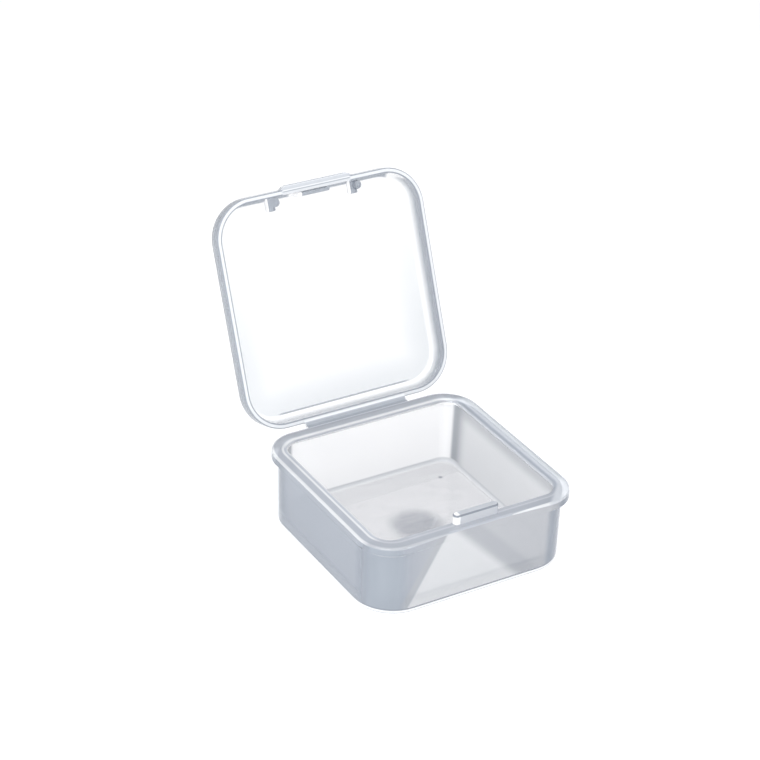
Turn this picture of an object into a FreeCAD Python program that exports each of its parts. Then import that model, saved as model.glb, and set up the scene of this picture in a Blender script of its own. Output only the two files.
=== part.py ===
import FreeCAD, Part
import math
import os
import Sketcher

# Individual lidded bead organizer box, millimetres.
# One small square tray whose lid swings on a thin moulded hinge along its back edge.
# Frame: origin at the centre of the tray's underside, +X along the hinge,
# +Y towards the hinge, +Z up. The lid is stored open, as it stands by itself.

# Independent sizes, each in its own cell of the sheet
SIZES = [
    # whole box
    ("lidWidth", 53.1),
    ("lidDepth", 52.7),
    ("trayHeight", 17.8),
    # lid over the rim
    ("lidOverhang", 0.4),
    ("lidSeatGap", 0.05),
    ("lidSkirt", 1.16),
    ("lidInsideDepth", 4.4),
    ("lidPanel", 1.0),
    ("lidCorner", 9.3),
    ("lidTopRounding", 3.0),
    ("lidInnerRounding", 2.0),
    # rim band round the mouth
    ("rimProjection", 0.65),
    ("rimHeight", 2.1),
    ("rimCorner", 8.1),
    ("rimRounding", 0.42),
    ("rimUnderBevel", 0.25),
    ("rimRingWidth", 2.1),
    ("rimGapWidth", 15.6),
    ("rimEndRounding", 0.9),
    # tray walls and floor
    ("wallDraft", 0.32),
    ("wallCorner", 9.3),
    ("wallThickness", 3.25),
    ("frontWallThickness", 3.45),
    ("baseBevel", 0.6),
    ("floorThickness", 1.7),
    ("mouthCorner", 3.5),
    ("mouthDraft", 0.35),
    ("mouthRounding", 0.6),
    ("floorBevel", 0.7),
    # latch bar on the front wall and the ridge that drops in front of it
    ("barLength", 11.2),
    ("barWidth", 1.9),
    ("barHeight", 2.4),
    ("barBevel", 0.4),
    ("ridgeLength", 8.3),
    ("ridgeWidth", 1.0),
    ("ridgeHeight", 2.7),
    ("ridgeBevel", 0.3),
    ("ridgeClearance", 0.12),
    # thumb tab on the lid's front edge
    ("tabWidth", 16.3),
    ("tabFlare", 1.15),
    ("tabReach", 0.9),
    ("tabThickness", 1.7),
    ("tabRounding", 0.45),
    # finger lugs inside the lid, beside the latch
    ("lugPitch", 21.2),
    ("lugWidth", 1.9),
    ("lugLength", 3.34),
    ("lugHeight", 1.6),
    ("lugLobeReach", 1.3),
    ("lugLobeLength", 2.0),
    ("lugLobeInset", 1.55),
    ("lugBevel", 0.25),
    # moulded hinge
    ("hingeWidth", 26.5),
    ("hingeReach", 0.8),
    ("hingeDrop", 0.75),
    ("filmThickness", 0.3),
    ("filmLength", 0.35),
    ("filmClearance", 0.06),
    ("trayLeafThickness", 0.9),
    ("trayLeafTaper", 0.5),
    ("lidLeafThickness", 0.6),
    # the turn of the open lid from its closed place, in degrees
    ("restOpening", 112.5),
    # how far a piece runs into its neighbour before it is trimmed to it
    ("overrun", 1.0),
]

doc = FreeCAD.newDocument("LiddedBeadBox")
sheet = doc.addObject("Spreadsheet::Sheet", "Sizes")
for row, (alias, number) in enumerate(SIZES, start=1):
    sheet.set("A%d" % row, alias)
    sheet.set("B%d" % row, str(number))
    sheet.setAlias("B%d" % row, alias)
doc.recompute()


def size(text):
    # An expression on the sheet, with its aliases written as Sizes.alias
    words = []
    aliases = {alias for alias, number in SIZES}
    word = ""
    for letter in text + " ":
        if letter.isalnum():
            word += letter
            continue
        words.append("Sizes." + word if word in aliases else word)
        words.append(letter)
        word = ""
    return "(" + "".join(words).strip() + ")"


def number(expression):
    # The present value of an expression
    found = sheet.evalExpression(expression)
    return float(getattr(found, "Value", found))


# Derived places, all in the tray's frame
lidHalfX = size("lidWidth / 2")
lidHalfY = size("lidDepth / 2")
rimHalfX = size("lidWidth / 2 - lidOverhang")
rimHalfY = size("lidDepth / 2 - lidOverhang")
topHalfX = size("lidWidth / 2 - lidOverhang - rimProjection")
topHalfY = size("lidDepth / 2 - lidOverhang - rimProjection")
baseHalfX = size("lidWidth / 2 - lidOverhang - rimProjection - wallDraft")
baseHalfY = size("lidDepth / 2 - lidOverhang - rimProjection - wallDraft")
mouthHalfX = size("lidWidth / 2 - lidOverhang - rimProjection - wallThickness")
mouthBack = size("lidDepth / 2 - lidOverhang - rimProjection - wallThickness")
mouthFront = size("lidDepth / 2 - lidOverhang - rimProjection - frontWallThickness")
hingeBack = size("lidDepth / 2 + hingeReach")
hingeHeight = size("trayHeight - hingeDrop")

# Derived places in the lid's own frame, which starts on the hinge axis, lid closed
lipPlane = size("hingeDrop + lidSeatGap")
panelInside = size("hingeDrop + lidSeatGap + lidInsideDepth")
lidHeight = size("lidInsideDepth + lidPanel")
lidBack = size("hingeReach")
lidFront = size("lidDepth + hingeReach")


def plane(body, role):
    for feature in body.Origin.OriginFeatures:
        if feature.Role == role:
            return feature


def newBody(name):
    body = doc.addObject("PartDesign::Body", name)
    body.Label = name
    return body


def newSketch(body, name, role, height=None):
    # A sketch on one of the body's own planes, lifted along its normal
    sketch = body.newObject("Sketcher::SketchObject", name)
    sketch.AttachmentSupport = [(plane(body, role), "")]
    sketch.MapMode = "FlatFace"
    if height:
        sketch.setExpression(".AttachmentOffset.Base.z", height)
    return sketch


def bind(sketch, kind, *where, to):
    # A driving dimension of a sketch, tied to the sheet
    index = sketch.addConstraint(Sketcher.Constraint(kind, *where, number(to)))
    sketch.setExpression("Constraints[%d]" % index, to)


def place(sketch, kind, point, to):
    # Ties one coordinate of a point to the sheet, whichever side of the origin it lies
    value = number(to)
    if value == 0:
        axis = -2 if kind == "DistanceX" else -1
        sketch.addConstraint(Sketcher.Constraint("PointOnObject", *point, axis))
    elif value > 0:
        bind(sketch, kind, -1, 1, *point, to=to)
    else:
        bind(sketch, kind, *point, -1, 1, to="-" + to)


def roundedRectangle(sketch, halfX, front, back, corner):
    # front and back are the distances of those two sides from the X axis, front below it
    x, low, high, r = number(halfX), -number(front), number(back), number(corner)
    start = sketch.GeometryCount
    vector = FreeCAD.Vector
    up = vector(0, 0, 1)
    sides = [
        (vector(-x + r, low, 0), vector(x - r, low, 0)),
        (vector(x, low + r, 0), vector(x, high - r, 0)),
        (vector(x - r, high, 0), vector(-x + r, high, 0)),
        (vector(-x, high - r, 0), vector(-x, low + r, 0)),
    ]
    centres = [
        vector(x - r, low + r, 0),
        vector(x - r, high - r, 0),
        vector(-x + r, high - r, 0),
        vector(-x + r, low + r, 0),
    ]
    for side in sides:
        sketch.addGeometry(Part.LineSegment(*side))
    quarter = math.pi / 2
    for index, centre in enumerate(centres):
        begin = (index - 1) * quarter
        circle = Part.Circle(centre, up, r)
        sketch.addGeometry(Part.ArcOfCircle(circle, begin, begin + quarter))
    for index in range(4):
        line = start + index
        arc = start + 4 + index
        following = start + (index + 1) % 4
        sketch.addConstraint(Sketcher.Constraint("Tangent", line, 2, arc, 1))
        sketch.addConstraint(Sketcher.Constraint("Tangent", arc, 2, following, 1))
        direction = "Vertical" if index % 2 else "Horizontal"
        sketch.addConstraint(Sketcher.Constraint(direction, line))
    for arc in range(start + 5, start + 8):
        sketch.addConstraint(Sketcher.Constraint("Equal", start + 4, arc))
    bind(sketch, "Radius", start + 4, to=corner)
    place(sketch, "DistanceX", (start + 1, 1), halfX)
    place(sketch, "DistanceX", (start + 3, 1), "-" + halfX)
    place(sketch, "DistanceY", (start, 1), "-" + front)
    place(sketch, "DistanceY", (start + 2, 1), back)


def polygon(sketch, points):
    # A closed outline whose corners are pairs of expressions, either sign
    start = sketch.GeometryCount
    corners = [FreeCAD.Vector(number(x), number(y), 0) for x, y in points]
    count = len(points)
    for index, corner in enumerate(corners):
        sketch.addGeometry(Part.LineSegment(corner, corners[(index + 1) % count]))
    for index in range(count):
        following = start + (index + 1) % count
        sketch.addConstraint(Sketcher.Constraint("Coincident", start + index, 2, following, 1))
    for index, (x, y) in enumerate(points):
        place(sketch, "DistanceX", (start + index, 1), x)
        place(sketch, "DistanceY", (start + index, 1), y)


def slot(sketch, x, y, halfReach, radius):
    # A stadium along X, its middle at (x, y)
    middleX, middleY = number(x), number(y)
    a, r = number(halfReach), number(radius)
    vector = FreeCAD.Vector
    up = vector(0, 0, 1)
    start = sketch.GeometryCount
    right = Part.Circle(vector(middleX + a, middleY, 0), up, r)
    left = Part.Circle(vector(middleX - a, middleY, 0), up, r)
    half = math.pi / 2
    sketch.addGeometry(Part.ArcOfCircle(right, -half, half))
    sketch.addGeometry(Part.ArcOfCircle(left, half, 3 * half))
    sketch.addGeometry(
        Part.LineSegment(vector(middleX + a, middleY + r, 0), vector(middleX - a, middleY + r, 0))
    )
    sketch.addGeometry(
        Part.LineSegment(vector(middleX - a, middleY - r, 0), vector(middleX + a, middleY - r, 0))
    )
    sketch.addConstraint(Sketcher.Constraint("Tangent", start, 2, start + 2, 1))
    sketch.addConstraint(Sketcher.Constraint("Tangent", start + 2, 2, start + 1, 1))
    sketch.addConstraint(Sketcher.Constraint("Tangent", start + 1, 2, start + 3, 1))
    sketch.addConstraint(Sketcher.Constraint("Tangent", start + 3, 2, start, 1))
    sketch.addConstraint(Sketcher.Constraint("Horizontal", start + 2))
    bind(sketch, "Radius", start, to=radius)
    place(sketch, "DistanceX", (start, 3), "(%s + %s)" % (x, halfReach))
    place(sketch, "DistanceX", (start + 1, 3), "(%s - %s)" % (x, halfReach))
    place(sketch, "DistanceY", (start, 3), y)


def halfSlot(sketch, noseX, noseY, reach, radius):
    # A strip along X that ends in a half round centred on (noseX, noseY)
    x, y, length, r = number(noseX), number(noseY), number(reach), number(radius)
    vector = FreeCAD.Vector
    half = math.pi / 2
    start = sketch.GeometryCount
    nose = Part.Circle(vector(x, y, 0), vector(0, 0, 1), r)
    sketch.addGeometry(Part.ArcOfCircle(nose, -half, half))
    corners = [
        vector(x, y + r, 0),
        vector(x - length, y + r, 0),
        vector(x - length, y - r, 0),
        vector(x, y - r, 0),
    ]
    for begin, end in zip(corners, corners[1:]):
        sketch.addGeometry(Part.LineSegment(begin, end))
    sketch.addConstraint(Sketcher.Constraint("Tangent", start, 2, start + 1, 1))
    sketch.addConstraint(Sketcher.Constraint("Coincident", start + 1, 2, start + 2, 1))
    sketch.addConstraint(Sketcher.Constraint("Coincident", start + 2, 2, start + 3, 1))
    sketch.addConstraint(Sketcher.Constraint("Tangent", start + 3, 2, start, 1))
    sketch.addConstraint(Sketcher.Constraint("Horizontal", start + 1))
    sketch.addConstraint(Sketcher.Constraint("Vertical", start + 2))
    bind(sketch, "Radius", start, to=radius)
    place(sketch, "DistanceX", (start, 3), noseX)
    place(sketch, "DistanceY", (start, 3), noseY)
    place(sketch, "DistanceX", (start + 1, 2), "(%s - %s)" % (noseX, reach))


def pad(body, sketch, length, taper=None, midplane=False, reversed=False):
    feature = body.newObject("PartDesign::Pad", sketch.Name + "Pad")
    feature.Profile = sketch
    feature.setExpression("Length", length)
    if taper:
        feature.setExpression("TaperAngle", taper)
    if midplane:
        feature.SideType = "Symmetric"
    feature.Reversed = reversed
    sketch.Visibility = False
    doc.recompute()
    return feature


def pocket(body, sketch, depth, taper=None, reversed=False):
    # A pocket must take something away, so the volume is compared
    before = body.Shape.Volume
    feature = body.newObject("PartDesign::Pocket", sketch.Name + "Pocket")
    feature.Profile = sketch
    feature.setExpression("Length", depth)
    if taper:
        feature.setExpression("TaperAngle", taper)
    feature.Reversed = reversed
    sketch.Visibility = False
    doc.recompute()
    if body.Shape.Volume >= before:
        raise RuntimeError(sketch.Name + " cuts nothing")
    return feature


def fillet(body, name, radius, chosen):
    # Rounds the edges of the body's last feature that the test picks
    base = body.Tip
    names = []
    for index, edge in enumerate(base.Shape.Edges, start=1):
        if chosen(edge):
            names.append("Edge%d" % index)
    if not names:
        raise RuntimeError(name + " finds no edge")
    feature = body.newObject("PartDesign::Fillet", name)
    feature.Base = (base, names)
    feature.setExpression("Radius", radius)
    doc.recompute()
    return feature


def chamfer(body, name, width, chosen):
    # Bevels the edges of the body's last feature that the test picks
    base = body.Tip
    names = ["Edge%d" % i for i, edge in enumerate(base.Shape.Edges, start=1) if chosen(edge)]
    if not names:
        raise RuntimeError(name + " finds no edge")
    feature = body.newObject("PartDesign::Chamfer", name)
    feature.Base = (base, names)
    feature.setExpression("Size", width)
    doc.recompute()
    return feature


NEAR = 1e-4


def atHeight(edge, height):
    box = edge.BoundBox
    return abs(box.ZMin - height) < NEAR and abs(box.ZMax - height) < NEAR


def inside(edge, halfX, halfY):
    box = edge.BoundBox
    within = max(abs(box.XMin), abs(box.XMax)) < halfX + NEAR
    return within and max(abs(box.YMin), abs(box.YMax)) < halfY + NEAR


def trimTo(name, piece, neighbour):
    # Cuts the piece back to the neighbour's skin, so that it seats on its roundings
    seat = doc.addObject("Part::Cut", name)
    seat.Base = piece
    seat.Tool = neighbour
    seat.Label = name
    doc.recompute()
    return seat


# The tray: rim band first, with its gap for the thumb at the front
tray = newBody("tray")
rimBottom = size("trayHeight - rimHeight")
ringSketch = newSketch(tray, "rimBand", "XY_Plane", rimBottom)
roundedRectangle(ringSketch, rimHalfX, rimHalfY, rimHalfY, size("rimCorner"))
roundedRectangle(
    ringSketch,
    size("lidWidth / 2 - lidOverhang - rimRingWidth"),
    size("lidDepth / 2 - lidOverhang - rimRingWidth"),
    size("lidDepth / 2 - lidOverhang - rimRingWidth"),
    size("rimCorner - rimRingWidth"),
)
pad(tray, ringSketch, size("rimHeight"))
gapSketch = newSketch(tray, "rimGap", "XY_Plane", size("trayHeight + overrun"))
gapHalf = size("rimGapWidth / 2")
polygon(
    gapSketch,
    [
        ("-" + gapHalf, "-" + size("lidDepth / 2")),
        (gapHalf, "-" + size("lidDepth / 2")),
        (gapHalf, "-" + size("lidDepth / 2 - lidOverhang - rimRingWidth - overrun")),
        ("-" + gapHalf, "-" + size("lidDepth / 2 - lidOverhang - rimRingWidth - overrun")),
    ],
)
pocket(tray, gapSketch, size("rimHeight + 2 * overrun"))
rimFace = number(rimHalfY)
gapEdge = number(gapHalf)


def isBandEnd(edge):
    box = edge.BoundBox
    upright = box.ZLength > number(size("rimHeight")) - NEAR
    return upright and abs(box.YMin + rimFace) < NEAR and abs(abs(box.XMin) - gapEdge) < NEAR


fillet(tray, "bandEnds", size("rimEndRounding"), isBandEnd)

# The walls widen a little towards the mouth, so that the tray leaves its mould
wallSketch = newSketch(tray, "walls", "XY_Plane")
roundedRectangle(wallSketch, baseHalfX, baseHalfY, baseHalfY, size("wallCorner"))
pad(tray, wallSketch, size("trayHeight"), taper="atan(Sizes.wallDraft / Sizes.trayHeight)")
mouthSketch = newSketch(tray, "mouth", "XY_Plane", size("trayHeight"))
roundedRectangle(mouthSketch, mouthHalfX, mouthFront, mouthBack, size("mouthCorner"))
pocket(
    tray,
    mouthSketch,
    size("trayHeight - floorThickness"),
    taper="-atan(Sizes.mouthDraft / (Sizes.trayHeight - Sizes.floorThickness))",
)

floorTop = number(size("floorThickness"))
trayTop = number(size("trayHeight"))
rimUnder = number(rimBottom)
mouthX = number(mouthHalfX)
mouthY = number(mouthBack)
wallX = number(topHalfX)
wallY = number(topHalfY)
chamfer(tray, "floorCove", size("floorBevel"), lambda edge: atHeight(edge, floorTop))
fillet(
    tray,
    "mouthEdge",
    size("mouthRounding"),
    lambda edge: atHeight(edge, trayTop) and inside(edge, mouthX, mouthY),
)
chamfer(tray, "baseEdge", size("baseBevel"), lambda edge: atHeight(edge, 0))
fillet(
    tray,
    "rimEdge",
    size("rimRounding"),
    lambda edge: atHeight(edge, trayTop) and not inside(edge, wallX, wallY),
)
chamfer(
    tray,
    "rimUnderEdge",
    size("rimUnderBevel"),
    lambda edge: atHeight(edge, rimUnder) and not inside(edge, wallX, wallY),
)

# The latch bar stands on the thick front wall, with full round ends
barStock = newBody("latchBarStock")
barSketch = newSketch(barStock, "barOutline", "XY_Plane", size("trayHeight - mouthRounding"))
slot(
    barSketch,
    "0",
    "-" + size("lidDepth / 2 - lidOverhang - rimProjection - frontWallThickness + barWidth / 2"),
    size("barLength / 2 - barWidth / 2"),
    size("barWidth / 2"),
)
pad(barStock, barSketch, size("mouthRounding + barHeight"))
barTop = number(size("trayHeight + barHeight"))
chamfer(barStock, "barEdge", size("barBevel"), lambda edge: atHeight(edge, barTop))
latchBar = trimTo("latch_bar", barStock, tray)

# The hinge: a leaf on the rim's back, the thin film, and a leaf on the lid's lip
trayLeafStock = newBody("trayLeafStock")
leafSketch = newSketch(trayLeafStock, "trayLeafSection", "YZ_Plane")
leafRoot = size("lidDepth / 2 - lidOverhang - rimRounding")
leafNose = size("lidDepth / 2 + hingeReach - filmLength")
leafTop = size("trayHeight - hingeDrop + filmThickness / 2")
filmUnder = size("trayHeight - hingeDrop - filmThickness / 2")
leafUnder = size("trayHeight - hingeDrop + filmThickness / 2 - trayLeafThickness")
polygon(
    leafSketch,
    [
        (leafRoot, leafUnder),
        (size("lidDepth / 2 + hingeReach - filmLength - trayLeafTaper"), leafUnder),
        (leafNose, filmUnder),
        (leafNose, leafTop),
        (leafRoot, leafTop),
    ],
)
pad(trayLeafStock, leafSketch, size("hingeWidth"), midplane=True)
trayLeaf = trimTo("hinge_leaf_tray", trayLeafStock, tray)

film = newBody("hinge_film")
filmSketch = newSketch(film, "filmSection", "YZ_Plane")
halfSlot(filmSketch, hingeBack, hingeHeight, size("filmLength"), size("filmThickness / 2"))
pad(film, filmSketch, size("hingeWidth"), midplane=True)

# The lid, drawn closed about the hinge axis and then turned open with its Placement
lid = newBody("lid")
lidSketch = newSketch(lid, "lidOutline", "XY_Plane", lipPlane)
roundedRectangle(lidSketch, lidHalfX, lidFront, "-" + lidBack, size("lidCorner"))
pad(lid, lidSketch, lidHeight)
insideSketch = newSketch(lid, "lidInside", "XY_Plane", lipPlane)
roundedRectangle(
    insideSketch,
    size("lidWidth / 2 - lidSkirt"),
    size("lidDepth + hingeReach - lidSkirt"),
    "-" + size("hingeReach + lidSkirt"),
    size("lidCorner - lidSkirt"),
)
pocket(lid, insideSketch, size("lidInsideDepth"), reversed=True)
lidTop = number(size("hingeDrop + lidSeatGap + lidInsideDepth + lidPanel"))
panelHeight = number(panelInside)
fillet(lid, "lidInnerCove", size("lidInnerRounding"), lambda edge: atHeight(edge, panelHeight))
fillet(lid, "lidTopEdge", size("lidTopRounding"), lambda edge: atHeight(edge, lidTop))

lidLeaf = newBody("hinge_leaf_lid")
lidLeafSketch = newSketch(lidLeaf, "lidLeafSection", "YZ_Plane")
filmGap = size("filmThickness / 2 + filmClearance")
polygon(
    lidLeafSketch,
    [
        ("-" + lidBack, lipPlane),
        ("-" + size("hingeReach + lidLeafThickness"), lipPlane),
        ("-" + size("filmThickness / 2 + filmThickness"), filmGap),
        ("0", filmGap),
    ],
)
pad(lidLeaf, lidLeafSketch, size("hingeWidth"), midplane=True)

# The thumb tab is a ledge level with the lip, flared where it leaves the skirt
tab = newBody("thumb_tab")
tabSketch = newSketch(tab, "tabOutline", "XY_Plane", lipPlane)
polygon(
    tabSketch,
    [
        ("-" + size("tabWidth / 2 + tabFlare"), "-" + lidFront),
        ("-" + size("tabWidth / 2"), "-" + size("lidDepth + hingeReach + tabReach")),
        (size("tabWidth / 2"), "-" + size("lidDepth + hingeReach + tabReach")),
        (size("tabWidth / 2 + tabFlare"), "-" + lidFront),
    ],
)
pad(tab, tabSketch, size("tabThickness"))
tabTop = number(size("hingeDrop + lidSeatGap + tabThickness"))
tabTip = number(size("lidDepth + hingeReach + tabReach"))


def isTabEdge(edge):
    box = edge.BoundBox
    tip = abs(box.YMin + tabTip) < NEAR and abs(box.YMax + tabTip) < NEAR
    return tip and (box.ZLength > NEAR or atHeight(edge, tabTop))


fillet(tab, "tabEdge", size("tabRounding"), isTabEdge)

# The ridge hangs from the lid's panel and drops just in front of the latch bar
ridgeStock = newBody("latchRidgeStock")
ridgeSketch = newSketch(ridgeStock, "ridgeOutline", "XY_Plane", panelInside)
ridgeMiddle = size(
    "lidDepth + hingeReach - lidOverhang - rimProjection - frontWallThickness"
    " + barWidth + ridgeClearance + ridgeWidth / 2"
)
slot(
    ridgeSketch,
    "0",
    "-" + ridgeMiddle,
    size("ridgeLength / 2 - ridgeWidth / 2"),
    size("ridgeWidth / 2"),
)
pad(ridgeStock, ridgeSketch, size("ridgeHeight"), reversed=True)
ridgeTip = number(size("hingeDrop + lidSeatGap + lidInsideDepth - ridgeHeight"))
chamfer(ridgeStock, "ridgeEdge", size("ridgeBevel"), lambda edge: atHeight(edge, ridgeTip))

# Two lugs reach in from the front skirt, each with a round lobe on its right side
lugStocks = []
for side, sign in (("left", -1), ("right", 1)):
    stock = newBody("lugStock" + side.capitalize())
    lugSketch = newSketch(stock, "lugOutline" + side.capitalize(), "XY_Plane", panelInside)
    middle = size("%d * lugPitch / 2" % sign)
    lugInner = size("lidDepth + hingeReach - lidSkirt - lugLength")
    lugOuter = size("lidDepth + hingeReach - lidSkirt")
    lugEast = size("%d * lugPitch / 2 + lugWidth / 2" % sign)
    lugWest = size("%d * lugPitch / 2 - lugWidth / 2" % sign)
    polygon(
        lugSketch,
        [
            (lugWest, "-" + lugOuter),
            (lugEast, "-" + lugOuter),
            (lugEast, "-" + lugInner),
            (lugWest, "-" + lugInner),
        ],
    )
    pad(stock, lugSketch, size("lugHeight"), reversed=True)
    lobeSketch = newSketch(stock, "lugLobe" + side.capitalize(), "XY_Plane", panelInside)
    slot(
        lobeSketch,
        lugEast,
        "-" + size("lidDepth + hingeReach - lidSkirt - lugLobeInset"),
        size("lugLobeReach - lugLobeLength / 2"),
        size("lugLobeLength / 2"),
    )
    pad(stock, lobeSketch, size("lugHeight"), reversed=True)
    lugTip = number(size("hingeDrop + lidSeatGap + lidInsideDepth - lugHeight"))
    chamfer(
        stock,
        "lugEdge" + side.capitalize(),
        size("lugBevel"),
        lambda edge: atHeight(edge, lugTip),
    )
    lugStocks.append((side, stock))

# The open lid: everything that belongs to it turns about the hinge axis
OPEN = (
    "placement(vector(0; %s; %s); rotation(vector(-1; 0; 0); Sizes.restOpening))"
    % (hingeBack, hingeHeight)
)
for piece in [lid, lidLeaf, tab, ridgeStock] + [stock for side, stock in lugStocks]:
    piece.setExpression("Placement", OPEN)
doc.recompute()
latchRidge = trimTo("latch_ridge", ridgeStock, lid)
lugs = [trimTo("lid_lug_" + side, stock, lid) for side, stock in lugStocks]

doc.recompute()
pieces = [tray, latchBar, trayLeaf, film, lid, lidLeaf, tab, latchRidge] + lugs
for thing in doc.Objects:
    if "Invalid" in thing.State or "Error" in thing.State:
        raise RuntimeError(thing.Name + " did not build")
for piece in pieces:
    shape = piece.Shape
    if shape.isNull() or not shape.isValid() or len(shape.Solids) != 1:
        raise RuntimeError(piece.Label + " is not one sound solid")

os.makedirs("parts", exist_ok=True)
for piece in pieces:
    shape = piece.Shape
    shape.exportStep("parts/" + piece.Label + ".step")
    box = shape.optimalBoundingBox()
    print(
        piece.Label,
        "%.2f mm3" % shape.Volume,
        "x %.2f..%.2f y %.2f..%.2f z %.2f..%.2f"
        % (box.XMin, box.XMax, box.YMin, box.YMax, box.ZMin, box.ZMax),
    )
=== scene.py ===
import math

import bmesh
import bpy
from mathutils import Matrix, Vector


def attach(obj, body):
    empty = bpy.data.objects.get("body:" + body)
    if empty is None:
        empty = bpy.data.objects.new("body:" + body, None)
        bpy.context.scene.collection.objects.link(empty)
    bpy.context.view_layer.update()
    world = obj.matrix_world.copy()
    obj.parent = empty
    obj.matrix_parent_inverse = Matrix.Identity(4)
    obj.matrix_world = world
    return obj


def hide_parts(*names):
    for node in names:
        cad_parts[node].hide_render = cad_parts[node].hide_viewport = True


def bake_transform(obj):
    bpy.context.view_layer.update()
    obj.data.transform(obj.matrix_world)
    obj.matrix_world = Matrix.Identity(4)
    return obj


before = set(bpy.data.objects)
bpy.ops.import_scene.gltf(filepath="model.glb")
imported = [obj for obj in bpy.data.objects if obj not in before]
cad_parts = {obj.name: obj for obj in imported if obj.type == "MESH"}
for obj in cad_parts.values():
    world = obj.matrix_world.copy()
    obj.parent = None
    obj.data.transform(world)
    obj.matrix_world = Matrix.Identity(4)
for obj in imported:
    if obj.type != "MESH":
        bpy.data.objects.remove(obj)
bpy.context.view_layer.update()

print("box loaded:", sorted(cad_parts))

scene = bpy.context.scene
scene.view_settings.view_transform = "Standard"
mm = 0.001


def hexToLinear(code):
    channels = [int(code[i:i + 2], 16) / 255 for i in (1, 3, 5)]
    return [c / 12.92 if c <= 0.04045 else ((c + 0.055) / 1.055) ** 2.4 for c in channels] + [1.0]


def addNode(tree, kind, inputs=None, **settings):
    # one node with its settings, and its inputs either set or linked
    node = tree.nodes.new(kind)
    for name, value in settings.items():
        setattr(node, name, value)
    for name, value in (inputs or {}).items():
        socket = node.inputs[name]
        if isinstance(value, bpy.types.NodeSocket):
            tree.links.new(value, socket)
        else:
            socket.default_value = value
    return node


# camera, as the photograph was taken
view = {
    "turn": 31.738, "height": 30.006, "roll": 2.254,   # degrees
    "distance": 508.67, "aimX": -11.032, "aimZ": 42.817, "sensor": 36, "clipFrom": 10,   # mm
    "focalPixels": 2393.0, "framePixels": 760,
}
turn, height, roll = (math.radians(view[k]) for k in ("turn", "height", "roll"))
towardsCamera = Vector((
    -math.sin(turn) * math.cos(height), -math.cos(turn) * math.cos(height), math.sin(height)))
right = (-towardsCamera).cross(Vector((0, 0, 1))).normalized()
up = right.cross(-towardsCamera)
rolledRight = right * math.cos(roll) + up * math.sin(roll)
rolledUp = up * math.cos(roll) - right * math.sin(roll)
place = (Vector((view["aimX"], 0, view["aimZ"])) + towardsCamera * view["distance"]) * mm
cameraData = bpy.data.cameras.new("camera")
cameraData.sensor_width = view["sensor"]
cameraData.lens = view["focalPixels"] / view["framePixels"] * view["sensor"]
cameraData.clip_start = view["clipFrom"] * mm
camera = bpy.data.objects.new("camera", cameraData)
camera.matrix_world = Matrix.Translation(place) @ Matrix(
    (rolledRight, rolledUp, towardsCamera)).transposed().to_4x4()
scene.collection.objects.link(camera)
scene.camera = camera
print("camera placed")


def measuresOf(tree, coordinates, look):
    # what zones go by: places in mm in the piece's own frame, and the way its faces look
    own = addNode(tree, "ShaderNodeMapping", {
        "Vector": coordinates.outputs["Object"], "Location": Vector(look["origin"]) * mm,
        "Rotation": (math.radians(look["turn"]), 0, 0), "Scale": (mm, mm, mm)},
        vector_type="TEXTURE").outputs["Vector"]
    facing = addNode(tree, "ShaderNodeMapping", {
        "Vector": coordinates.outputs["Normal"],
        "Rotation": (math.radians(-look["turn"]), 0, 0)}, vector_type="VECTOR").outputs["Vector"]
    places = addNode(tree, "ShaderNodeSeparateXYZ", {"Vector": own}).outputs
    faces = addNode(tree, "ShaderNodeSeparateXYZ", {"Vector": facing}).outputs
    measures = {"x": places["X"], "y": places["Y"], "z": places["Z"],
                "east": faces["X"], "north": faces["Y"]}
    for name, signed in (("wide", places["X"]), ("across", faces["X"]), ("level", faces["Z"])):
        measures[name] = addNode(tree, "ShaderNodeMath", {0: signed}, operation="ABSOLUTE").outputs[0]
    # ring: the distance outwards from a rectangle with round corners
    plan = own
    for operation, by in (("SUBTRACT", (0, look["middleY"], 0)), ("MULTIPLY", (1, 1, 0))):
        plan = addNode(tree, "ShaderNodeVectorMath", {0: plan, 1: by}, operation=operation).outputs[0]
    folded = addNode(tree, "ShaderNodeVectorMath", {0: plan}, operation="ABSOLUTE").outputs[0]
    past = folded
    for operation, by in (("SUBTRACT", (*look["straight"], 0)), ("MAXIMUM", (0, 0, 0))):
        past = addNode(tree, "ShaderNodeVectorMath", {0: past, 1: by}, operation=operation).outputs[0]
    past = addNode(tree, "ShaderNodeVectorMath", {0: past}, operation="LENGTH").outputs["Value"]
    measures["ring"] = addNode(tree, "ShaderNodeMath", {
        0: past, 1: look["corner"]}, operation="SUBTRACT").outputs[0]
    # spots: the distance from a point of the plan, or from its four mirror images
    for vector, spots in ((plan, look["spots"]), (folded, look["mirroredSpots"])):
        for name, spot in spots.items():
            measures[name] = addNode(tree, "ShaderNodeVectorMath", {
                0: vector, 1: (*spot, 0)}, operation="DISTANCE").outputs["Value"]
    # slants: how far a place reaches in a slanting direction, from the height of the rim
    for name, direction in look["slants"].items():
        fromRim = addNode(tree, "ShaderNodeVectorMath", {
            0: own, 1: (0, 0, look["slantsFrom"])}, operation="SUBTRACT")
        measures[name] = addNode(tree, "ShaderNodeVectorMath", {
            0: fromRim.outputs[0], 1: direction}, operation="DOT_PRODUCT").outputs["Value"]
    return measures


def zone(tree, measures, limits):
    # 1 within all the limits and 0 outside them, each limit a soft step from one value to another
    within = 1.0
    for name, outer, inner in limits:
        step = addNode(tree, "ShaderNodeMapRange", {
            "Value": measures[name], "From Min": min(outer, inner), "From Max": max(outer, inner),
            "To Min": float(outer > inner), "To Max": float(outer < inner)},
            interpolation_type="SMOOTHSTEP").outputs["Result"]
        within = addNode(tree, "ShaderNodeMath", {0: within, 1: step}, operation="MULTIPLY").outputs[0]
    return within


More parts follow.
